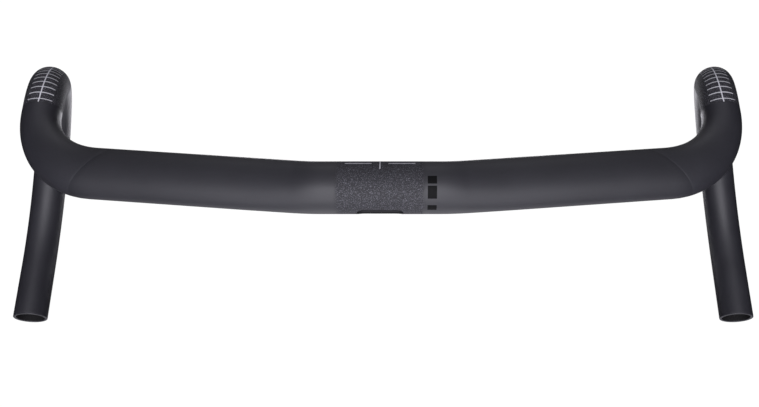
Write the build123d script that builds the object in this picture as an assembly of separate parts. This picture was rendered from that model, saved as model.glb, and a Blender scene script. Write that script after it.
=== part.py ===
from build123d import *
import os
from math import acos, cos, degrees, radians, sin, tan

# A drop handlebar: hollow moulded sections bonded at the outer ends of the tops.
# The origin is the centre of the stem clamp, +X is the rider's right and +Y is forward.
# The right half is one centreline of straight and bent runs, and the left half mirrors it.

# driving dimensions, in millimetres and degrees
CLAMP_DIAMETER = 31.8
CLAMP_HALF_LENGTH = 35.0
TUBE_DIAMETER = 23.8  # ramps, hooks and drops
TOP_DEPTH = 34.0  # the tops are flattened: deeper fore and aft than they are tall
TOP_HEIGHT = 24.4
WALL = 2.0

SWEEP_FORWARD = 5.7  # how far the tops lean forward and down from the clamp's axis
SWEEP_DOWN = 2.4
SWEEP_RADIUS = 150.0
TOP_LENGTH = 126.5
CORNER_RADIUS = 47.5
RAMP_TOE_OUT = 3.5
RAMP_LENGTH = 7.0
FLARE = 20.3  # the hook's plane leans out from vertical by this
HOOK_BENDS = ((34.0, 37.5), (51.5, 55.5), (100.0, 83.0))  # radius and angle, front to back
DROP_LENGTH = 40.0

# the bonded joint at the outer end of each top
SEAM_SKEW = 35.0  # the seam slants, with its forward edge nearer the clamp
NECK_LENGTH = 24.0
NECK_WALL = 1.8
NECK_ROOT = 6.0
BOND_THICKNESS = 0.15

# grit coats and printed marks are let in flush with the moulding
LAYER = 0.2
CLAMP_COAT_HALF = 27.0
LEVER_COAT_ON_RAMP = 5.0
LEVER_COAT_TURN = 26.0  # how far the lever coat follows the second hook bend

# openings for the cables and hoses
PORT_LENGTH = 28.0
PORT_HEIGHT = 11.0
PORT_CORNER = 4.5
PORT_ANGLE = 16.5  # below the rearward horizontal
HOSE_HOLE_LENGTH = 14.0
HOSE_HOLE_WIDTH = 8.0
HOSE_HOLE_PLACE = 0.8  # share of the corner's turn

# sleeve that stiffens the clamp from inside
LINER_WALL = 1.5
LINER_HALF_LENGTH = 29.0

# lever scale: a line along the crest of the hook with arcs across it
TICK_WIDTH = 0.5
TICK_PITCH = 5.0
TICK_ANGLE = 38.0  # each side of the crest
TICKS_ON_SECOND_BEND = 3
TICK_ON_RAMP = 2.0  # before the end of the ramp
LINE_WIDTH = 0.7
LINE_MARGIN = 0.5  # between the line and each end of the coat
LINE_PIECES = 12
SCALE_LEAN = (-10.5, 3.7)  # how far inboard of the crest the line lies, at its start and further on
SCALE_LEAN_LENGTH = 35.0

# clamp marks: angles are round the clamp, from forward over the top
CENTRE_TICK = (0.6, 25.0, 75.0)  # width and the angles it runs between
SETTING_LINE = (5.0, 21.0, 54.0, 0.8)  # from and to along the clamp, angle and height
# each block's angle and angular width
BLOCKS = {
    "side_block_front": (102.0, 17.0),
    "side_block_middle": (129.0, 28.0),
    "side_block_rear": (167.0, 15.0),
}
BLOCK_LENGTH = 5.4
BLOCK_CENTRE = 30.7

# how finely the changing sections are drawn
SWEEP_STEPS = 4
SWELL_SHARE = 0.25  # the flattening is complete this far along the top
SWELL_STEPS = 5
CORNER_STEPS = 8

CLAMP_RADIUS = CLAMP_DIAMETER / 2
TUBE_RADIUS = TUBE_DIAMETER / 2


class Straight:
    """A straight run of centreline. A plane's z_dir is the heading there."""

    def __init__(self, start, length):
        self.start, self.length = start, length

    def at(self, share):
        reach = self.start.z_dir * (self.length * share)
        return Plane(self.start.origin + reach, x_dir=self.start.x_dir, z_dir=self.start.z_dir)

    def rod(self, radius):
        return extrude(self.start * Circle(radius), self.length)


class Bend:
    """A run bent at one radius about an axis direction."""

    def __init__(self, start, direction, radius, angle):
        inward = direction.cross(start.z_dir).normalized()
        self.start, self.radius, self.angle = start, radius, angle
        self.length = radians(angle) * radius
        self.axis = Axis(start.origin + inward * radius, direction)

    def at(self, share):
        turn = self.angle * share
        arm = (self.start.origin - self.axis.position).rotate(self.axis, turn)
        return Plane(
            self.axis.position + arm,
            x_dir=self.start.x_dir.rotate(self.axis, turn),
            z_dir=self.start.z_dir.rotate(self.axis, turn),
        )

    def rod(self, radius):
        return revolve(self.start * Circle(radius), self.axis, self.angle)


def bend_to(start, heading, radius):
    direction = start.z_dir.cross(heading)
    angle = degrees(acos(start.z_dir.dot(heading)))
    return Bend(start, direction.normalized(), radius, angle)


def ease(share):
    """0 to 1 with level ends."""
    share = min(max(share, 0.0), 1.0)
    return share * share * (3 - 2 * share)


# the right half's centreline
clamp_end = Plane((CLAMP_HALF_LENGTH, 0, 0), x_dir=(0, 1, 0), z_dir=(1, 0, 0))
top_heading = Vector(1, tan(radians(SWEEP_FORWARD)), -tan(radians(SWEEP_DOWN))).normalized()
sweep = bend_to(clamp_end, top_heading, SWEEP_RADIUS)
top = Straight(sweep.at(1), TOP_LENGTH)
ramp_heading = Vector(sin(radians(RAMP_TOE_OUT)), cos(radians(RAMP_TOE_OUT)), 0)
corner = bend_to(top.at(1), ramp_heading, CORNER_RADIUS)
ramp = Straight(corner.at(1), RAMP_LENGTH)

plumb = Vector(sin(radians(FLARE)), 0, -cos(radians(FLARE)))
hook_axis = ramp_heading.cross(plumb).normalized()
hooks = []
place = ramp.at(1)
for bend_radius, bend_angle in HOOK_BENDS:
    hooks.append(Bend(place, hook_axis, bend_radius, bend_angle))
    place = hooks[-1].at(1)
drop = Straight(place, DROP_LENGTH)


def oval(plane, share, narrow, inset):
    """The section between round and flattened: share 0 is a tube of the radius given, 1 is the top's."""
    depth = narrow + (TOP_DEPTH / 2 - narrow) * share
    height = narrow + (TOP_HEIGHT / 2 - narrow) * share
    return plane * Ellipse(depth - inset, height - inset)


def top_body(inset):
    """The right half from the clamp's end to the ramp, every section drawn in by inset."""
    swell = [
        oval(sweep.at(i / SWEEP_STEPS), ease(i / SWEEP_STEPS / 2), CLAMP_RADIUS, inset)
        for i in range(SWEEP_STEPS)
    ] + [
        oval(top.at(SWELL_SHARE * i / SWELL_STEPS), ease(0.5 + i / SWELL_STEPS / 2), CLAMP_RADIUS, inset)
        for i in range(SWELL_STEPS + 1)
    ]
    level = extrude(
        oval(top.at(SWELL_SHARE), 1, CLAMP_RADIUS, inset), TOP_LENGTH * (1 - SWELL_SHARE)
    )
    turn = [
        oval(corner.at(i / CORNER_STEPS), 1 - ease(i / CORNER_STEPS), TUBE_RADIUS, inset)
        for i in range(CORNER_STEPS + 1)
    ]
    return loft(swell) + level + loft(turn)


# the runs from the ramp to the drop's end, told apart by whether the lever coat covers them
before_coat = Straight(ramp.start, RAMP_LENGTH - LEVER_COAT_ON_RAMP)
coated = [
    Straight(before_coat.at(1), LEVER_COAT_ON_RAMP),
    hooks[0],
    Bend(hooks[1].start, hook_axis, hooks[1].radius, LEVER_COAT_TURN),
]
after_coat = [
    Bend(coated[-1].at(1), hook_axis, hooks[1].radius, hooks[1].angle - LEVER_COAT_TURN),
    hooks[2],
    drop,
]


def sum_of(shapes):
    total, *rest = shapes
    for shape in rest:
        total += shape
    return total


def drop_body(inset, recess):
    """The right half from the ramp to the drop's end, let in by the recess where it is coated."""
    bare = [run.rod(TUBE_RADIUS - inset) for run in [before_coat, *after_coat]]
    return sum_of(bare + [run.rod(TUBE_RADIUS - inset - recess) for run in coated])


def inboard(shape, plane):
    return split(shape, bisect_by=plane, keep=Keep.BOTTOM)


def outboard(shape, plane):
    return split(shape, bisect_by=plane, keep=Keep.TOP)


top_end = top.at(1)
skew = radians(SEAM_SKEW)
seam = Plane(top_end.origin, z_dir=top_end.z_dir * cos(skew) + top_end.x_dir * sin(skew))
neck_end = top.at(1 - NECK_LENGTH / TOP_LENGTH)

outside = top_body(0)
hollow = top_body(WALL)
neck_outside = top_body(WALL + BOND_THICKNESS)
neck_hollow = top_body(WALL + BOND_THICKNESS + NECK_WALL)


def make_bond_film():
    return outboard(inboard(hollow, seam), neck_end) - neck_outside


def make_lever_coat():
    return sum_of(run.rod(TUBE_RADIUS) - run.rod(TUBE_RADIUS - LAYER) for run in coated)


def scale_plane(along):
    """The section plane this far down the coat's centreline, with y_dir towards the scale's line."""
    reach = along
    for run in coated:
        if reach <= run.length:
            break
        reach -= run.length
    place = run.at(reach / run.length)
    first, last = SCALE_LEAN
    lean = first + (last - first) * min(along / SCALE_LEAN_LENGTH, 1)
    return Plane(place.origin, x_dir=hook_axis, z_dir=place.z_dir).rotated((0, 0, -lean))


def tick(along):
    """A box that cuts one arc out of the coat across the line."""
    half_width = TUBE_RADIUS * sin(radians(TICK_ANGLE))
    low = TUBE_RADIUS * cos(radians(TICK_ANGLE)) - 2 * LAYER
    high = TUBE_RADIUS + 2 * LAYER
    box = Box(2 * half_width, high - low, TICK_WIDTH)
    return scale_plane(along) * Pos(0, (low + high) / 2) * box


def tick_places():
    """How far down the coat's centreline each tick lies. They are evenly spaced on the crest."""
    places = [LEVER_COAT_ON_RAMP - TICK_ON_RAMP]
    on_crest = TICK_PITCH - TICK_ON_RAMP
    begin = LEVER_COAT_ON_RAMP
    for hook, most in ((hooks[0], None), (hooks[1], TICKS_ON_SECOND_BEND)):
        stretch = (hook.radius + TUBE_RADIUS) / hook.radius
        here = []
        while on_crest <= hook.length * stretch and len(here) != most:
            here.append(begin + on_crest / stretch)
            on_crest += TICK_PITCH
        places += here
        on_crest -= hook.length * stretch
        begin += hook.length
    return places


def line_piece(low, high):
    """A straight box over one short stretch of the line, between two distances down the coat."""
    start, end = (scale_plane(along).from_local_coords(Vector(0, TUBE_RADIUS)) for along in (low, high))
    outward = scale_plane((low + high) / 2).y_dir
    course = end - start
    across = Plane((start + end) / 2, x_dir=outward.cross(course), z_dir=course)
    return across * Box(LINE_WIDTH, 4 * LAYER, course.length + LINE_WIDTH / 2)


def make_lever_scale(coat):
    coat_length = sum(run.length for run in coated)
    pitch = (coat_length - 2 * LINE_MARGIN) / LINE_PIECES
    marks = [tick(along) for along in tick_places()]
    for number in range(LINE_PIECES):
        low = LINE_MARGIN + pitch * number
        marks.append(line_piece(low, low + pitch))
    return coat & sum_of(marks)


def make_hose_hole():
    """A slot cutter through the underside of the corner, long way along the bar."""
    place = corner.at(HOSE_HOLE_PLACE)
    down = Plane(place.origin, x_dir=place.z_dir, z_dir=(0, 0, -1))
    return extrude(down * SlotOverall(HOSE_HOLE_LENGTH, HOSE_HOLE_WIDTH), 2 * TUBE_RADIUS)


def make_drop_section():
    shell = outboard(outside, seam) - hollow
    root = inboard(outboard(hollow, seam), seam.offset(NECK_ROOT)) - neck_hollow
    neck = outboard(inboard(neck_outside, seam), neck_end) - neck_hollow
    lower = drop_body(0, LAYER) - drop_body(WALL, 0)
    return shell + root + neck + lower - make_hose_hole()


def round_clamp(angle):
    """A plane at the clamp's surface: x_dir along the bar and z_dir outwards."""
    turn = radians(angle)
    outward = Vector(0, cos(turn), sin(turn))
    return Plane(outward * CLAMP_RADIUS, x_dir=(1, 0, 0), z_dir=outward)


def ring(outer, thickness, half_length):
    """A sleeve round the clamp's axis. Its closing edge runs along the port, which cuts it away."""
    section = Plane((0, 0, 0), x_dir=round_clamp(180 + PORT_ANGLE).z_dir, z_dir=(1, 0, 0))
    outer_rod = extrude(section * Circle(outer), half_length, both=True)
    return outer_rod - extrude(section * Circle(outer - thickness), half_length, both=True)


def make_port():
    """The cable port's cutter, from the bar's axis out through the rear wall."""
    rearward = round_clamp(180 + PORT_ANGLE)
    outline = Plane((0, 0, 0), x_dir=(1, 0, 0), z_dir=rearward.z_dir) * RectangleRounded(
        PORT_LENGTH, PORT_HEIGHT, PORT_CORNER
    )
    return extrude(outline, 2 * CLAMP_RADIUS)


def arc_length(angle):
    return radians(angle) * CLAMP_RADIUS


def make_centre_marks(coat):
    """The centring tick and the setting line each side of it."""
    width, low, high = CENTRE_TICK
    middle = round_clamp((low + high) / 2)
    marks = {"centre_tick": coat & middle * Box(width, arc_length(high - low), CLAMP_RADIUS)}
    inner, outer, angle, height = SETTING_LINE
    for name, side in (("right_setting_line", 1), ("left_setting_line", -1)):
        middle = round_clamp(angle) * Pos(side * (inner + outer) / 2)
        marks[name] = coat & middle * Box(outer - inner, height, 1)
    return marks


def make_side_blocks():
    band = ring(CLAMP_RADIUS, LAYER, CLAMP_HALF_LENGTH)
    return {
        name: band & round_clamp(angle) * Pos(BLOCK_CENTRE) * Box(BLOCK_LENGTH, arc_length(width), 4)
        for name, (angle, width) in BLOCKS.items()
    }


def make_centre_section(clamp_coat, side_blocks):
    half = inboard(outside, seam) - hollow
    clamp = ring(CLAMP_RADIUS, WALL, CLAMP_HALF_LENGTH)
    body = clamp + half + mirror(half, about=Plane.YZ) - clamp_coat - port
    for block in side_blocks:
        body -= block
    return body


port = make_port()
whole_clamp_coat = ring(CLAMP_RADIUS, LAYER, CLAMP_COAT_HALF)
side_blocks = make_side_blocks()
centre_marks = make_centre_marks(whole_clamp_coat)
lever_coat = make_lever_coat()
lever_scale = make_lever_scale(lever_coat)

clamp_grip_coat = whole_clamp_coat - port
for mark in centre_marks.values():
    clamp_grip_coat -= mark

parts = {
    "centre_section": make_centre_section(whole_clamp_coat, side_blocks.values()),
    "clamp_liner": ring(CLAMP_RADIUS - WALL, LINER_WALL, LINER_HALF_LENGTH) - port,
    "clamp_grip_coat": clamp_grip_coat,
    **centre_marks,
    **side_blocks,
}
handed = {
    "drop_section": make_drop_section(),
    "bond_film": make_bond_film(),
    "lever_grip_coat": lever_coat - lever_scale,
    "lever_scale": lever_scale,
}
for name, shape in handed.items():
    parts[f"right_{name}"] = shape
    parts[f"left_{name}"] = mirror(shape, about=Plane.YZ)

os.makedirs("parts", exist_ok=True)
for name, shape in parts.items():
    shape.label = name
    export_step(shape, f"parts/{name}.step")
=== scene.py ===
from math import acos, asin, atan2, cos, pi, radians, sin, tan

import bpy
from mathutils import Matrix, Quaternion, Vector


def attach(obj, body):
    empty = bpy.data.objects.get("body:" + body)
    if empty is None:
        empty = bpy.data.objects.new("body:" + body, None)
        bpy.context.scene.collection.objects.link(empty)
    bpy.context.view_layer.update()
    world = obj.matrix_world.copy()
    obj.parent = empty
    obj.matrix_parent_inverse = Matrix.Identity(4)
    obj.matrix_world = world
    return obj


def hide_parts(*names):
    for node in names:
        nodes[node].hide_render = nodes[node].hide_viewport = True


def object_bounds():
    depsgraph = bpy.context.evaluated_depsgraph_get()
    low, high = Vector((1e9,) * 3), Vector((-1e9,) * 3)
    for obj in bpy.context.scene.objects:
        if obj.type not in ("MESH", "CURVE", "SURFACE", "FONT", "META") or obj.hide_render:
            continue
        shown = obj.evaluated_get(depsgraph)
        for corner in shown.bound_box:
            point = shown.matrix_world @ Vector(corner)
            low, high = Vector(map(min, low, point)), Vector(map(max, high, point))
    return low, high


# The drop handlebar's looks. Smooth skins stand for the moulded sections, coats and marks,
# built on the same centreline as the CAD model, in metres.

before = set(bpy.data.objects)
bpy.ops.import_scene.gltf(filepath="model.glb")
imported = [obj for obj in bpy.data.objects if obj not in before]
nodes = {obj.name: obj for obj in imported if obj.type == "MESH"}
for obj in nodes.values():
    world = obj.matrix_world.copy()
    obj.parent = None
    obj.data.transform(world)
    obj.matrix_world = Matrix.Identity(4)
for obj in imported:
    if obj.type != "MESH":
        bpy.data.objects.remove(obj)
cad_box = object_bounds()
MM = 0.001

# ---------------------------------------------------------------- the bar's shape
CLAMP_RADIUS = 15.9 * MM
CLAMP_HALF = 35 * MM
TUBE_RADIUS = 11.9 * MM
TOP_DEPTH = 17 * MM  # half sizes of the flattened top
TOP_HEIGHT = 12.2 * MM
WALL = 2 * MM
TOP_LENGTH = 126.5 * MM
RAMP_LENGTH = 7 * MM
HOOK_BENDS = ((34, 37.5), (51.5, 55.5), (100, 83))
DROP_LENGTH = 40 * MM
FLARE = radians(20.3)
SEAM_SKEW = radians(35)
SWEEP_RADIUS = 150 * MM
CORNER_RADIUS = 47.5 * MM
TOP_FORWARD = radians(5.7)
TOP_DROOP = radians(2.4)
RAMP_TOE_OUT = radians(3.5)
SWELL_SHARE = 0.25  # the part of a straight top over which the clamp's round fades out
LAYER = 0.2 * MM  # thickness of a coat, let in flush
SEAM_REACH = 25 * MM  # the seam crosses the skin within this much of the corner's start
SEAM_SEARCH_STEPS = 40
AROUND = 96  # segments round every tube
OUTLINE_STEPS = 24  # segments in each rounded corner of an opening
WINDOW_STEPS = 5  # rings of skin laid between the grid and an opening
LIP_STEPS = 6  # segments across a rounded lip or rim


class Run:
    """A straight or bent stretch of centreline. at() gives the place and its three directions there."""

    def __init__(self, name, start, length, axis=None, radius=0.0):
        self.name = name
        self.start = start
        self.length = length
        self.axis = axis
        self.radius = radius

    def at(self, along):
        origin, side, heading = self.start
        if self.axis is None:
            return origin + heading * along, side, heading
        inward = self.axis.cross(heading).normalized()
        centre = origin + inward * self.radius
        turn = Quaternion(self.axis, along / self.radius)
        return centre + turn @ (origin - centre), turn @ side, turn @ heading


def bend_to(name, start, heading, radius):
    axis = start[2].cross(heading).normalized()
    return Run(name, start, radius * acos(start[2].dot(heading)), axis, radius)


top_heading = Vector((1, tan(TOP_FORWARD), -tan(TOP_DROOP))).normalized()
ramp_heading = Vector((sin(RAMP_TOE_OUT), cos(RAMP_TOE_OUT), 0))
clamp_start = (Vector((0, 0, 0)), Vector((0, 1, 0)), Vector((1, 0, 0)))
runs = [Run("clamp", clamp_start, CLAMP_HALF)]
runs.append(bend_to("sweep", runs[-1].at(CLAMP_HALF), top_heading, SWEEP_RADIUS))
runs.append(Run("top", runs[-1].at(runs[-1].length), TOP_LENGTH))
runs.append(bend_to("corner", runs[-1].at(TOP_LENGTH), ramp_heading, CORNER_RADIUS))
runs.append(Run("ramp", runs[-1].at(runs[-1].length), RAMP_LENGTH))
plumb = Vector((sin(FLARE), 0, -cos(FLARE)))
hook_axis = ramp_heading.cross(plumb).normalized()
for number, (bend_radius, bend_angle) in enumerate(HOOK_BENDS):
    length = radians(bend_angle) * bend_radius * MM
    runs.append(Run(f"hook{number}", runs[-1].at(runs[-1].length), length, hook_axis, bend_radius * MM))
runs.append(Run("drop", runs[-1].at(runs[-1].length), DROP_LENGTH))

begins = {}
bar_end = 0.0
for run in runs:
    begins[run.name] = bar_end
    bar_end += run.length
lengths = {run.name: run.length for run in runs}


def ease(share):
    share = min(max(share, 0.0), 1.0)
    return share * share * (3 - 2 * share)


def place(along):
    for run in reversed(runs):
        if along >= begins[run.name]:
            return run.at(along - begins[run.name])
    return runs[0].at(along)


def half_sizes(along):
    """Half the section's depth and height: round at the clamp, flattened on the tops, round again."""
    if along >= begins["corner"]:
        narrow = TUBE_RADIUS
        flat = 1 - ease((along - begins["corner"]) / lengths["corner"])
    elif along >= begins["top"]:
        narrow = CLAMP_RADIUS
        share = (along - begins["top"]) / (SWELL_SHARE * TOP_LENGTH)
        flat = ease(0.5 + share / 2)
    else:
        narrow = CLAMP_RADIUS
        flat = ease((along - begins["sweep"]) / lengths["sweep"] / 2)
    return narrow + (TOP_DEPTH - narrow) * flat, narrow + (TOP_HEIGHT - narrow) * flat


def surface(along, angle, inset=0.0):
    """A point on the right half's skin. The angle runs from forward over the top."""
    origin, side, heading = place(along)
    depth, height = half_sizes(along)
    up = heading.cross(side)
    return origin + side * ((depth - inset) * cos(angle)) + up * ((height - inset) * sin(angle))


def skin_point(along, angle, inset=0.0):
    """As surface(), with the left half at negative distances."""
    if along >= 0:
        return surface(along, angle, inset)
    p = surface(-along, angle, inset)
    return Vector((-p.x, p.y, p.z))


seam_origin, seam_side, seam_heading = place(begins["corner"])
seam_normal = seam_heading * cos(SEAM_SKEW) + seam_side * sin(SEAM_SKEW)


def seam_along(angle, inset=0.0):
    """How far along the bar the slanting seam crosses the skin at this angle."""
    low = begins["corner"] - SEAM_REACH
    high = begins["corner"] + SEAM_REACH
    for _ in range(SEAM_SEARCH_STEPS):
        middle = (low + high) / 2
        if (surface(middle, angle, inset) - seam_origin).dot(seam_normal) < 0:
            low = middle
        else:
            high = middle
    return (low + high) / 2


angles = [2 * pi * k / AROUND for k in range(AROUND)]
seam_outer = [seam_along(a) for a in angles]
seam_inner = [seam_along(a, WALL) for a in angles]


# ---------------------------------------------------------------- meshes
class Shell:
    """Collects points and faces of one mesh. A point's fade is 1 on a full coat or on a skin's painted
    outside and 0 where a coat ends or carbon is raw; on carbon, fade 0 also paints the near-black shade
    inside the tube."""

    def __init__(self):
        self.points, self.faces, self.fades = [], [], []

    def add(self, point, fade=1.0):
        self.points.append(point)
        self.fades.append(fade)
        return len(self.points) - 1

    def ring(self, points, fade=1.0):
        return [self.add(p, fade) for p in points]

    def join(self, a, b, skip=()):
        count = len(a)
        for k in range(count):
            if k not in skip:
                n = (k + 1) % count
                self.faces.append((a[k], a[n], b[n], b[k]))

    def make(self, name, material, body="root", mirrored=False, smooth_angle=40):
        mesh = bpy.data.meshes.new(name)
        flip = -1 if mirrored else 1
        mesh.from_pydata([(p.x * flip, p.y, p.z) for p in self.points], [], self.faces)
        mesh.update()
        fade = mesh.attributes.new("fade", "FLOAT", "POINT")
        fade.data.foreach_set("value", self.fades)
        obj = bpy.data.objects.new(name, mesh)
        bpy.context.scene.collection.objects.link(obj)
        bpy.context.view_layer.objects.active = obj
        obj.select_set(True)
        bpy.ops.object.mode_set(mode="EDIT")
        bpy.ops.mesh.select_all(action="SELECT")
        bpy.ops.mesh.normals_make_consistent(inside=False)
        bpy.ops.object.mode_set(mode="OBJECT")
        bpy.ops.object.shade_smooth_by_angle(angle=radians(smooth_angle))
        obj.select_set(False)
        mesh.materials.append(material)
        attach(obj, body)
        return obj


def spread(low, high, pitch):
    """Distances from low to high about a pitch apart, both ends included."""
    steps = max(1, round((high - low) / pitch))
    return [low + (high - low) * k / steps for k in range(steps + 1)]


def rounded_outline(half_length, half_height, corner):
    """A rounded rectangle's outline, counter-clockwise round its centre."""
    flat_x, flat_y = half_length - corner, half_height - corner
    outline = []
    centres = ((flat_x, flat_y), (-flat_x, flat_y), (-flat_x, -flat_y), (flat_x, -flat_y))
    for quarter, (x, y) in enumerate(centres):
        for k in range(OUTLINE_STEPS + 1):
            turn = radians(90 * quarter + 90 * k / OUTLINE_STEPS)
            outline.append((x + corner * cos(turn), y + corner * sin(turn)))
    return outline


PARALLEL = 1e-15
SLACK = 1e-6


def on_outline(outline, bearing):
    """The point where an outline round the origin crosses the ray at a bearing."""
    dx, dy = cos(bearing), sin(bearing)
    for k, (ax, ay) in enumerate(outline):
        bx, by = outline[(k + 1) % len(outline)]
        ex, ey = bx - ax, by - ay
        cross = dx * ey - dy * ex
        if abs(cross) < PARALLEL:
            continue
        reach = (ax * ey - ay * ex) / cross
        share = (ax * dy - ay * dx) / cross
        if reach > 0 and -SLACK <= share <= 1 + SLACK:
            return ax + ex * share, ay + ey * share
    raise ValueError("the outline doesn't go round its centre")


class Opening:
    """A rounded slot through a wall. Along and across are measured from its centre, on the skin."""

    def __init__(self, along, angle, half_length, half_height, corner):
        self.along = along
        self.angle = angle
        self.half_length = half_length
        self.half_height = half_height
        self.corner = corner

    def local(self, along, angle, inset):
        height = half_sizes(abs(self.along))[1] - inset
        turn = (angle - self.angle + pi) % (2 * pi) - pi
        return along - self.along, height * sin(turn)

    def point(self, x, y, inset):
        height = half_sizes(abs(self.along))[1] - inset
        return skin_point(self.along + x, self.angle + asin(y / height), inset)

    def outline(self, grow):
        return rounded_outline(self.half_length + grow, self.half_height + grow, self.corner + grow)


WINDOW_MARGIN = 3 * MM


def cut_window(shell, rings, stations, opening, inset, grow):
    """Leaves a window in a skin and fills it round the opening.

    Returns the faces to skip, the loop at the opening's edge and the bearing of each of its points.
    """
    half_turn = asin((opening.half_height + WINDOW_MARGIN) / half_sizes(abs(opening.along))[1])
    first_k = round((opening.angle - half_turn) / (2 * pi) * AROUND)
    last_k = round((opening.angle + half_turn) / (2 * pi) * AROUND)
    reach = opening.half_length + WINDOW_MARGIN
    near = [n for n, row in enumerate(stations) if abs(row[0] - opening.along) < reach]
    first_n = near[0] - 1
    last_n = near[-1] + 1
    border = [(n, first_k) for n in range(first_n, last_n)]
    border += [(last_n, k) for k in range(first_k, last_k)]
    border += [(n, last_k) for n in range(last_n, first_n, -1)]
    border += [(first_n, k) for k in range(last_k, first_k, -1)]
    skip = {(n, k % AROUND) for n in range(first_n, last_n) for k in range(first_k, last_k)}
    loop = [rings[n][k % AROUND] for n, k in border]
    outline = opening.outline(grow)
    spots = []
    for n, k in border:
        x, y = opening.local(stations[n][k % AROUND], 2 * pi * k / AROUND, inset)
        bearing = atan2(y, x)
        spots.append(((x, y), on_outline(outline, bearing), bearing))
    for step in range(1, WINDOW_STEPS + 1):
        share = step / WINDOW_STEPS
        row = []
        for (x, y), (ex, ey), _ in spots:
            row.append(shell.add(opening.point(x + (ex - x) * share, y + (ey - y) * share, inset)))
        shell.join(loop, row)
        loop = row
    return skip, loop, [bearing for _, _, bearing in spots]


def round_lip(shell, opening, loop, bearings, radius, inset, fade):
    """Rounds a wall's edge over into an opening, fading as it turns: on carbon this darkens the lip into
    painted shade. Returns the last loop.
    """
    for step in range(1, LIP_STEPS + 1):
        turn = radians(90 * step / LIP_STEPS)
        outline = opening.outline(radius * (1 - sin(turn)))
        depth = inset + radius * (1 - cos(turn))
        points = [opening.point(*on_outline(outline, b), depth) for b in bearings]
        row = shell.ring(points, fade * cos(turn))
        shell.join(loop, row)
        loop = row
    return loop


def ring_at(shell, row, inset, fade=1.0):
    """A ring of points under the skin. A row has one distance along the bar for each angle."""
    return shell.ring([skin_point(along, a, inset) for along, a in zip(row, angles)], fade)


def close_ends(shell, outer, inner):
    shell.join(outer[0], inner[0])
    shell.join(outer[-1], inner[-1])


def join_grid(shell, rings, skip=frozenset()):
    for n in range(len(rings) - 1):
        shell.join(rings[n], rings[n + 1], {k for m, k in skip if m == n})


def level(distances):
    return [[d] * AROUND for d in distances]


def slanting(steps, first, last):
    """Rows that turn from one row's slant into another's. The first row itself is left out."""
    rows = []
    for step in range(1, steps + 1):
        rows.append([i + (o - i) * (step / steps) for i, o in zip(first, last)])
    return rows


def negative(row):
    return [-d for d in row]


# ---------------------------------------------------------------- materials
RANGE_INPUTS = ("From Min", "From Max", "To Min", "To Max")


class Nodes:
    """One procedural material in the making."""

    def __init__(self, name):
        self.material = bpy.data.materials.new(name)
        self.material.use_nodes = True
        self.tree = self.material.node_tree
        self.shader = self.tree.nodes["Principled BSDF"]
        coordinates = self.tree.nodes.new("ShaderNodeTexCoord")
        self.place = coordinates.outputs["Object"]

    def node(self, kind, **settings):
        made = self.tree.nodes.new(kind)
        for key, value in settings.items():
            setattr(made, key, value)
        return made

    def set(self, socket, value):
        if isinstance(value, bpy.types.NodeSocket):
            self.tree.links.new(value, socket)
        else:
            socket.default_value = value

    def noise(self, scale, detail=3.0, roughness=0.5):
        made = self.node("ShaderNodeTexNoise")
        self.set(made.inputs["Vector"], self.place)
        made.inputs["Scale"].default_value = scale
        made.inputs["Detail"].default_value = detail
        made.inputs["Roughness"].default_value = roughness
        return made.outputs["Fac"]

    def span(self, value, low, high, to_low=0.0, to_high=1.0):
        made = self.node("ShaderNodeMapRange")
        self.set(made.inputs["Value"], value)
        for key, number in zip(RANGE_INPUTS, (low, high, to_low, to_high)):
            made.inputs[key].default_value = number
        return made.outputs["Result"]

    def maths(self, operation, a, b):
        made = self.node("ShaderNodeMath", operation=operation)
        self.set(made.inputs[0], a)
        self.set(made.inputs[1], b)
        return made.outputs[0]

    def mix(self, share, a, b):
        made = self.node("ShaderNodeMix", data_type="RGBA")
        self.set(made.inputs[0], share)
        self.set(made.inputs[6], a)
        self.set(made.inputs[7], b)
        return made.outputs[2]

    def attribute(self, name):
        return self.node("ShaderNodeAttribute", attribute_name=name).outputs["Fac"]

    def bump(self, height, strength, distance):
        made = self.node("ShaderNodeBump")
        self.set(made.inputs["Height"], height)
        made.inputs["Strength"].default_value = strength
        made.inputs["Distance"].default_value = distance
        self.set(self.shader.inputs["Normal"], made.outputs["Normal"])

    def put(self, **sockets):
        for key, value in sockets.items():
            self.set(self.shader.inputs[key.replace("_", " ")], value)


def grey(shade, blue=1.22):
    return (shade, shade * 0.99, shade * blue, 1.0)


def carbon(name, dark, light, roughness):
    """Satin moulded carbon: a fine peel over faint clouds of resin. Raw carbon, where the fade attribute is
    0, is duller and darker; its near-black colour there is also painted shade inside the tube and its
    openings.
    """
    m = Nodes(name)
    clouds = m.noise(scale=38.0)
    peel = m.noise(scale=2600.0, detail=2.0, roughness=0.6)
    base = m.mix(m.span(clouds, 0.3, 0.7), dark, light)
    glint = grey(light[0] * 1.7)
    speckled = m.mix(m.span(peel, 0.35, 0.75, to_high=0.35), base, glint)
    finish_and_shade = m.attribute("fade")
    # Fade 0 turns the colour near-black: raw carbon's own darkness plus painted shade inside the tube and
    # its openings.
    m.put(Base_Color=m.mix(finish_and_shade, grey(0.004), speckled))
    unevenness = m.maths("ADD", m.span(peel, 0.3, 0.7, -0.05, 0.05), m.span(clouds, 0.3, 0.7, -0.03, 0.03))
    dullness = m.span(finish_and_shade, 0.0, 1.0, 0.85, roughness)
    m.put(Roughness=m.maths("ADD", unevenness, dullness))
    ripple = m.maths("MULTIPLY", m.noise(scale=600.0, detail=2.0), 0.8)
    m.bump(m.maths("ADD", peel, ripple), strength=0.18, distance=0.00005)
    return m.material


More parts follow.
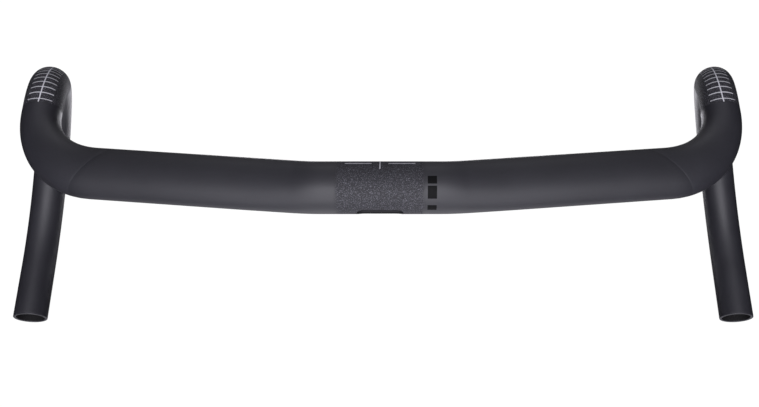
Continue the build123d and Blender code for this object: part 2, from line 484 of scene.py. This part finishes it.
def grit(name):
    """A sprayed friction coat: pale specks in dark binder, thinning out at its edges."""
    m = Nodes(name)
    cells = m.node("ShaderNodeTexVoronoi")
    m.set(cells.inputs["Vector"], m.place)
    cells.inputs["Scale"].default_value = 1500.0
    grain = m.noise(scale=1900.0, detail=4.0, roughness=0.8)
    patch = m.noise(scale=420.0, roughness=0.6)
    ragged = m.maths("ADD", m.attribute("fade"), m.span(patch, 0.3, 0.7, -0.35, 0.35))
    cover = m.span(ragged, 0.25, 0.8)
    specks = m.maths("MULTIPLY", m.span(grain, 0.54, 0.66), cover)
    binder = m.mix(cover, grey(0.021), grey(0.018))
    m.put(Base_Color=m.mix(specks, binder, grey(0.24, blue=1.15)))
    m.put(Roughness=m.span(cover, 0.0, 1.0, 0.5, 0.7))
    lumps = m.maths("MULTIPLY", cells.outputs["Distance"], 0.4)
    height = m.maths("MULTIPLY", m.maths("ADD", grain, lumps), cover)
    m.bump(height, strength=0.6, distance=0.00022)
    return m.material


def ink(name, colour, worn, specular=0.5):
    """Printed ink, thin enough for the ground to show through in places."""
    m = Nodes(name)
    grain = m.noise(scale=2400.0, roughness=0.65)
    m.put(Base_Color=m.mix(m.span(grain, 0.60, 0.74, to_high=worn), colour, grey(0.05)))
    m.put(Roughness=m.span(grain, 0.3, 0.7, 0.45, 0.55), Specular_IOR_Level=specular)
    m.bump(grain, strength=0.1, distance=0.00003)
    return m.material


top_carbon = carbon("carbon_top", grey(0.019), grey(0.023), 0.5)
drop_carbon = carbon("carbon_drop", grey(0.021), grey(0.026), 0.5)
raw_carbon = carbon("carbon_inner", grey(0.012), grey(0.02), 0.6)
adhesive = carbon("adhesive", grey(0.10), grey(0.13), 0.5)
coat_grit = grit("grit")
white_ink = ink("white_ink", (0.68, 0.68, 0.72, 1.0), worn=0.6)
gloss_ink = ink("gloss_ink", (0.004, 0.004, 0.0045, 1.0), worn=0.05, specular=0.08)

# The hidden pieces carry no fade, so both of these show as raw dark carbon, in its near-black painted-shade
# colour.
for name, node in nodes.items():
    hidden_material = adhesive if "film" in name else raw_carbon
    node.data.materials.clear()
    node.data.materials.append(hidden_material)

# ---------------------------------------------------------------- centre section
port = Opening(0.0, radians(196.5), 14 * MM, 5.5 * MM, 4.5 * MM)
PORT_LIP = 0.2 * MM
COAT_PORT_GAP = 0.25 * MM
COAT_HALF = 27 * MM
COAT_FADE = 2.6 * MM  # how far in from each side the clamp's coat thins out
SEAM_STEP = 0.05 * MM  # each skin dips this much at the seam
SEAM_SHOULDER = 0.3 * MM
CLAMP_PITCH = 1.5 * MM


def half_stations():
    """The right half's rows from the coat's edge to the seam, level at first and then slanting."""
    turn_start = begins["top"] + 45 * MM
    rows = level(spread(COAT_HALF, CLAMP_HALF, 2 * MM))
    rows += level(spread(CLAMP_HALF, begins["top"], CLAMP_PITCH)[1:])
    rows += level(spread(begins["top"], turn_start, 2.5 * MM)[1:])
    shoulder = [a - SEAM_SHOULDER for a in seam_outer]
    rows += slanting(24, [turn_start] * AROUND, shoulder)
    return rows


right_rows = half_stations()
left_rows = [negative(row) for row in reversed(right_rows)]
coat_rows = level(spread(-COAT_HALF, COAT_HALF, CLAMP_PITCH))
all_rows = left_rows + coat_rows + right_rows

shell = Shell()
stations = [negative(seam_outer)] + all_rows + [seam_outer]
plain = [0.0] * len(right_rows)
insets = [SEAM_STEP] + plain + [LAYER] * len(coat_rows) + plain + [SEAM_STEP]
outer = [ring_at(shell, row, inset) for row, inset in zip(stations, insets)]
skip, loop, bearings = cut_window(shell, outer, stations, port, LAYER, PORT_LIP)
join_grid(shell, outer, skip)
# The port's lip and the inner wall have fade 0: raw carbon, drawn near-black as painted shade inside the
# tube.
loop = round_lip(shell, port, loop, bearings, PORT_LIP, LAYER, 0.0)
inner_stations = [negative(seam_inner)] + all_rows + [seam_inner]
inner = [ring_at(shell, row, WALL, 0.0) for row in inner_stations]
skip, inner_loop, _ = cut_window(shell, inner, inner_stations, port, WALL, 0.0)
join_grid(shell, inner, skip)
shell.join(loop, inner_loop)
close_ends(shell, outer, inner)
centre = shell.make("centre_skin", top_carbon)
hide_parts("centre_section")

# ---------------------------------------------------------------- coat round the clamp
shell = Shell()
outer = []
for row in coat_rows:
    outer.append(ring_at(shell, row, 0.0, min(1.0, (COAT_HALF - abs(row[0])) / COAT_FADE)))
inner = [ring_at(shell, row, LAYER, 0.0) for row in coat_rows]
skip, loop, _ = cut_window(shell, outer, coat_rows, port, 0.0, COAT_PORT_GAP)
join_grid(shell, outer, skip)
skip, inner_loop, _ = cut_window(shell, inner, coat_rows, port, LAYER, PORT_LIP)
join_grid(shell, inner, skip)
shell.join(loop, inner_loop)
close_ends(shell, outer, inner)
coat = shell.make("clamp_coat", coat_grit)
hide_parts("clamp_grip_coat")

# ---------------------------------------------------------------- marks on the clamp
PROUD = 0.03 * MM  # how far ink stands off the skin
INK_SHOULDER = 0.08 * MM
INK_ROOT = -0.05 * MM
ARC_STEPS = 24
TICK_HALF = 0.3 * MM
LINE_HALF = 0.4 * MM
LINE_NEAR = 5 * MM
LINE_FAR = 21 * MM
LINE_BEARING = radians(54)
BLOCK_START = 28.0 * MM
BLOCK_END = 33.4 * MM


def add_strip(piece, where, columns, low, high):
    """Adds a thin printed patch with rounded shoulders: where(u, v, out) gives its points."""
    profile = (
        (low, INK_ROOT),
        (low, PROUD * 0.6),
        (low + INK_SHOULDER, PROUD),
        (high - INK_SHOULDER, PROUD),
        (high, PROUD * 0.6),
        (high, INK_ROOT),
    )
    strips = [piece.ring([where(u, v, out) for v, out in profile]) for u in columns]
    for a, b in zip(strips, strips[1:]):
        piece.join(a, b)
    piece.faces.append(tuple(strips[0]))
    piece.faces.append(tuple(reversed(strips[-1])))


def band(node, material, where, low, high, across_low, across_high):
    """One printed mark on the clamp."""
    piece = Shell()
    columns = [low + (high - low) * k / ARC_STEPS for k in range(ARC_STEPS + 1)]
    add_strip(piece, where, columns, across_low, across_high)
    made = piece.make(f"{node}_ink", material)
    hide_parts(node)


def on_clamp_arc(u, v, out):
    return surface(0, radians(u), -out) + Vector((v, 0, 0))


def on_clamp_line(u, v, out):
    return surface(0, LINE_BEARING + v / CLAMP_RADIUS, -out) + Vector((u, 0, 0))


band("centre_tick", white_ink, on_clamp_arc, 25, 75, -TICK_HALF, TICK_HALF)
for side, low, high in (("right", LINE_NEAR, LINE_FAR), ("left", -LINE_FAR, -LINE_NEAR)):
    band(f"{side}_setting_line", white_ink, on_clamp_line, low, high, -LINE_HALF, LINE_HALF)
for name, middle, width in (("front", 102, 17), ("middle", 129, 28), ("rear", 167, 15)):
    low = middle - width / 2
    high = middle + width / 2
    band(f"side_block_{name}", gloss_ink, on_clamp_arc, low, high, BLOCK_START, BLOCK_END)

# ---------------------------------------------------------------- drop sections
hose = Opening(begins["corner"] + 0.8 * lengths["corner"], radians(270), 7 * MM, 4 * MM, 4 * MM)
HOSE_LIP = 0.5 * MM
RIM = 0.5 * MM
NECK_INSET = WALL + 0.15 * MM
NECK_WALL = 1.8 * MM
NECK_IN = 24 * MM
NECK_OUT = 3 * MM
COAT_PITCH = 1.6 * MM
coat_start = begins["ramp"] + RAMP_LENGTH - 5 * MM
coat_end = begins["hook1"] + radians(26) * 51.5 * MM
COAT_START_FADE = 2 * MM
COAT_END_FADE = 6 * MM
before_coat = spread(begins["corner"] + 22 * MM, coat_start, COAT_PITCH)
under_coat = spread(coat_start, coat_end, COAT_PITCH)
after_coat = spread(coat_end, bar_end - RIM, 2.2 * MM)


def drop_skin(side):
    """The hollow corner, hook and drop, with its hose hole, rounded open end and stepped neck."""
    shell = Shell()
    shoulder = [a + SEAM_SHOULDER for a in seam_outer]
    plain_rows = [shoulder] + slanting(16, shoulder, [before_coat[0]] * AROUND) + level(before_coat[1:])
    sunk_rows = level(under_coat)
    last_rows = level(after_coat)
    stations = [seam_outer] + plain_rows + sunk_rows + last_rows
    insets = [SEAM_STEP] + [0.0] * len(plain_rows) + [LAYER] * len(sunk_rows) + [0.0] * len(last_rows)
    outer = [ring_at(shell, row, inset) for row, inset in zip(stations, insets)]
    skip, loop, bearings = cut_window(shell, outer, stations, hose, 0.0, HOSE_LIP)
    join_grid(shell, outer, skip)
    # The hose hole's lip fades as it turns in, and the inner wall has fade 0: raw carbon, drawn near-black
    # as painted shade inside the tube.
    loop = round_lip(shell, hose, loop, bearings, HOSE_LIP, 0.0, 1.0)

    turns = [radians(90 * k / LIP_STEPS) for k in range(1, LIP_STEPS + 1)]
    rim = [(RIM * (1 - sin(turn)), RIM * (1 - cos(turn))) for turn in turns]
    rim += [(back, WALL - inset) for back, inset in reversed([(RIM, 0.0)] + rim)]
    end = outer[-1]
    for back, inset in rim:
        row = ring_at(shell, [bar_end - back] * AROUND, inset)
        shell.join(end, row)
        end = row

    inner_stations = [seam_inner] + stations[1:]
    inner = [ring_at(shell, row, WALL, 0.0) for row in inner_stations]
    skip, inner_loop, _ = cut_window(shell, inner, inner_stations, hose, WALL, 0.0)
    join_grid(shell, inner, skip)
    shell.join(end, inner[-1])
    shell.join(loop, inner_loop)
    shell.join(outer[0], inner[0])

    neck_rows = level(spread(begins["corner"] - NECK_IN, begins["corner"] + NECK_OUT, 3 * MM))
    neck_outer = [ring_at(shell, row, NECK_INSET) for row in neck_rows]
    neck_inner = [ring_at(shell, row, NECK_INSET + NECK_WALL) for row in neck_rows]
    join_grid(shell, neck_outer)
    join_grid(shell, neck_inner)
    close_ends(shell, neck_outer, neck_inner)
    skin = shell.make(f"{side}_drop_skin", drop_carbon, mirrored=side == "left")
    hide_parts(f"{side}_drop_section")


def lever_coat(side):
    """The grit coat where the lever clamps, thinning out at both ends."""
    shell = Shell()
    outer = []
    for d in under_coat:
        fade = min(1.0, (coat_end - d) / COAT_END_FADE, (d - coat_start) / COAT_START_FADE)
        outer.append(ring_at(shell, [d] * AROUND, 0.0, fade))
    inner = [ring_at(shell, row, LAYER, 0.0) for row in level(under_coat)]
    join_grid(shell, outer)
    join_grid(shell, inner)
    close_ends(shell, outer, inner)
    coat = shell.make(f"{side}_lever_coat", coat_grit, mirrored=side == "left")
    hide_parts(f"{side}_lever_grip_coat")


# ---------------------------------------------------------------- lever scales
FIRST_LEAN = -10.5  # degrees from the crest to the scale's middle, at the coat's start
LEAN_CHANGE = 14.2
LEAN_LENGTH = 35 * MM
SCALE_STEP = 5 * MM  # between arcs, measured over the crest
FIRST_REACH = 3 * MM
SECOND_BEND_ARCS = 3
ARC_HALF = 0.25 * MM
ARC_REACH = 38  # degrees to each side of the scale's middle
SPINE_HALF = 0.35 * MM


def on_crest(along, bearing, out):
    """A point over the hook's crest: the bearing is measured from the crest, about the tube."""
    origin, _, heading = place(along)
    crest = heading.cross(hook_axis)
    bearing += radians(FIRST_LEAN + LEAN_CHANGE * min(1.0, (along - coat_start) / LEAN_LENGTH))
    return origin + (crest * cos(bearing) + hook_axis * sin(bearing)) * (TUBE_RADIUS + out)


def arc_places():
    """Where the arcs cross the centreline: one on the ramp, then at even steps over the hook's crest."""
    places = [begins["ramp"] + RAMP_LENGTH - 2 * MM]
    reach = FIRST_REACH
    for number, limit in ((0, None), (1, SECOND_BEND_ARCS)):
        bend, angle = HOOK_BENDS[number]
        radius = bend * MM
        crest_radius = radius + TUBE_RADIUS
        crest_length = radians(angle) * crest_radius
        made = 0
        while reach <= crest_length and made != limit:
            places.append(begins[f"hook{number}"] + reach * radius / crest_radius)
            reach += SCALE_STEP
            made += 1
        reach -= crest_length
    return places


def lever_marks(side):
    piece = Shell()
    bearings = [radians(-ARC_REACH + 2 * ARC_REACH * k / ARC_STEPS) for k in range(ARC_STEPS + 1)]
    for middle in arc_places():
        add_strip(piece, lambda u, v, out: on_crest(middle + v, u, out), bearings, -ARC_HALF, ARC_HALF)
    spine = spread(begins["ramp"] + RAMP_LENGTH - 4.5 * MM, coat_end, 1 * MM)
    add_strip(piece, lambda u, v, out: on_crest(u, v / TUBE_RADIUS, out), spine, -SPINE_HALF, SPINE_HALF)
    scale = piece.make(f"{side}_lever_marks", white_ink, mirrored=side == "left")
    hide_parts(f"{side}_lever_scale")


for side in ("right", "left"):
    drop_skin(side)
    lever_coat(side)
    lever_marks(side)

# ---------------------------------------------------------------- stage
FLOOR_SIZE = 8
FLOOR_GAP = 0.0005
bpy.ops.mesh.primitive_plane_add(size=FLOOR_SIZE, location=(0, 0, cad_box[0].z - FLOOR_GAP))
floor = bpy.context.object
floor.name = "floor"
m = Nodes("pale_floor")
mottle = m.span(m.noise(scale=9.0), 0.3, 0.7)
m.put(Base_Color=m.mix(mottle, (0.04, 0.04, 0.04, 1), (0.05, 0.05, 0.05, 1)), Roughness=0.8)
m.put(Specular_IOR_Level=0.0, Emission_Color=(1, 1, 1, 1), Emission_Strength=1.0)
floor.visible_diffuse = False
floor.visible_glossy = False
floor.data.materials.append(m.material)

scene = bpy.context.scene
scene.view_settings.view_transform = "Standard"
world = bpy.data.worlds.new("studio")
world.use_nodes = True
sky = world.node_tree
sky_direction = sky.nodes.new("ShaderNodeTexCoord")
LIGHT_COLOUR = (0.98, 0.97, 1.04)


def lit_towards(direction, low, high, dark, bright):
    """Brightness that changes with the angle to a direction, between two cosines."""
    along = sky.nodes.new("ShaderNodeVectorMath")
    along.operation = "DOT_PRODUCT"
    sky.links.new(sky_direction.outputs["Generated"], along.inputs[0])
    along.inputs[1].default_value = direction
    dim = sky.nodes.new("ShaderNodeMapRange")
    dim.interpolation_type = "SMOOTHSTEP"
    sky.links.new(along.outputs["Value"], dim.inputs["Value"])
    for key, number in zip(RANGE_INPUTS, (low, high, dark, bright)):
        dim.inputs[key].default_value = number
    return dim.outputs["Result"]


def combine(operation, a, b):
    both = sky.nodes.new("ShaderNodeMath")
    both.operation = operation
    sky.links.new(a, both.inputs[0])
    sky.links.new(b, both.inputs[1])
    return both.outputs[0]


# Dark to the left and right, bright above and low on the rider's side, with a little light from below.
right_side = lit_towards((1, 0, 0), 0.1, 0.5, 1.0, 0.03)
left_side = lit_towards((-1, 0, 0), 0.1, 0.5, 1.0, 0.03)
upper = lit_towards((0, -0.49, 0.87), -0.2, 1.0, 0.27, 0.80)
low_rear = lit_towards((0, -0.80, -0.60), 0.5, 1.0, 0.0, 0.9)
under = lit_towards((0, -0.35, -0.94), 0.75, 1.0, 0.0, 0.5)
sides = combine("MULTIPLY", right_side, left_side)
brightness = combine("ADD", combine("MULTIPLY", sides, combine("ADD", upper, low_rear)), under)
lights = sky.nodes["Background"]
lights.inputs["Color"].default_value = (*LIGHT_COLOUR, 1)
sky.links.new(brightness, lights.inputs["Strength"])

# The camera sees a plain white backdrop. Every other ray sees the lights.
backdrop = sky.nodes.new("ShaderNodeBackground")
backdrop.inputs["Color"].default_value = (1, 1, 1, 1)
seen = sky.nodes.new("ShaderNodeLightPath")
either = sky.nodes.new("ShaderNodeMixShader")
sky.links.new(seen.outputs["Is Camera Ray"], either.inputs[0])
sky.links.new(lights.outputs[0], either.inputs[1])
sky.links.new(backdrop.outputs[0], either.inputs[2])
sky.links.new(either.outputs[0], sky.nodes["World Output"].inputs["Surface"])
scene.world = world


def softbox(name, where, aim, width, depth, watts):
    lamp = bpy.data.lights.new(name, "AREA")
    lamp.shape = "RECTANGLE"
    lamp.size = width
    lamp.size_y = depth
    lamp.energy = watts
    lamp.color = LIGHT_COLOUR
    obj = bpy.data.objects.new(name, lamp)
    scene.collection.objects.link(obj)
    obj.location = where
    obj.rotation_mode = "QUATERNION"
    obj.rotation_quaternion = (Vector(aim) - Vector(where)).to_track_quat("-Z", "Y")
    return obj


softbox("key", (0, -0.72, 0.36), aim=(0, 0, -0.02), width=0.8, depth=1.0, watts=6.6)
softbox("over", (0, -0.5, 0.8), aim=(0, 0, 0), width=0.7, depth=0.5, watts=3.0)
softbox("front", (0, 1.3, 0.55), aim=(0, 0.05, -0.05), width=0.8, depth=0.5, watts=1.4)
for hand in (-1, 1):
    where = (0.14 * hand, 0.22, -0.26)
    fill = softbox(f"inner_{hand}", where, aim=(0.25 * hand, 0.1, -0.03), width=0.16, depth=0.16, watts=0.35)
    fill.visible_camera = False

# ---------------------------------------------------------------- camera
CAMERA_DISTANCE = 0.4612
CAMERA_ELEVATION = radians(60.634)
CAMERA_TILT = radians(1.18)  # the aim is this much lower than the origin
CAMERA_X = 0.0093
SENSOR_WIDTH = 36
LENS = 36.2902767  # millimetres
SHIFT_X = -0.0213438735
cam = bpy.data.cameras.new("camera")
cam.sensor_width = SENSOR_WIDTH
cam.lens = LENS
cam.shift_x = SHIFT_X
cam.dof.use_dof = False
camera = bpy.data.objects.new("camera", cam)
scene.collection.objects.link(camera)
camera_y = -CAMERA_DISTANCE * cos(CAMERA_ELEVATION)
camera.location = (CAMERA_X, camera_y, CAMERA_DISTANCE * sin(CAMERA_ELEVATION))
camera.rotation_euler = (pi / 2 - CAMERA_ELEVATION - CAMERA_TILT, 0, 0)
scene.camera = camera

bpy.context.view_layer.update()
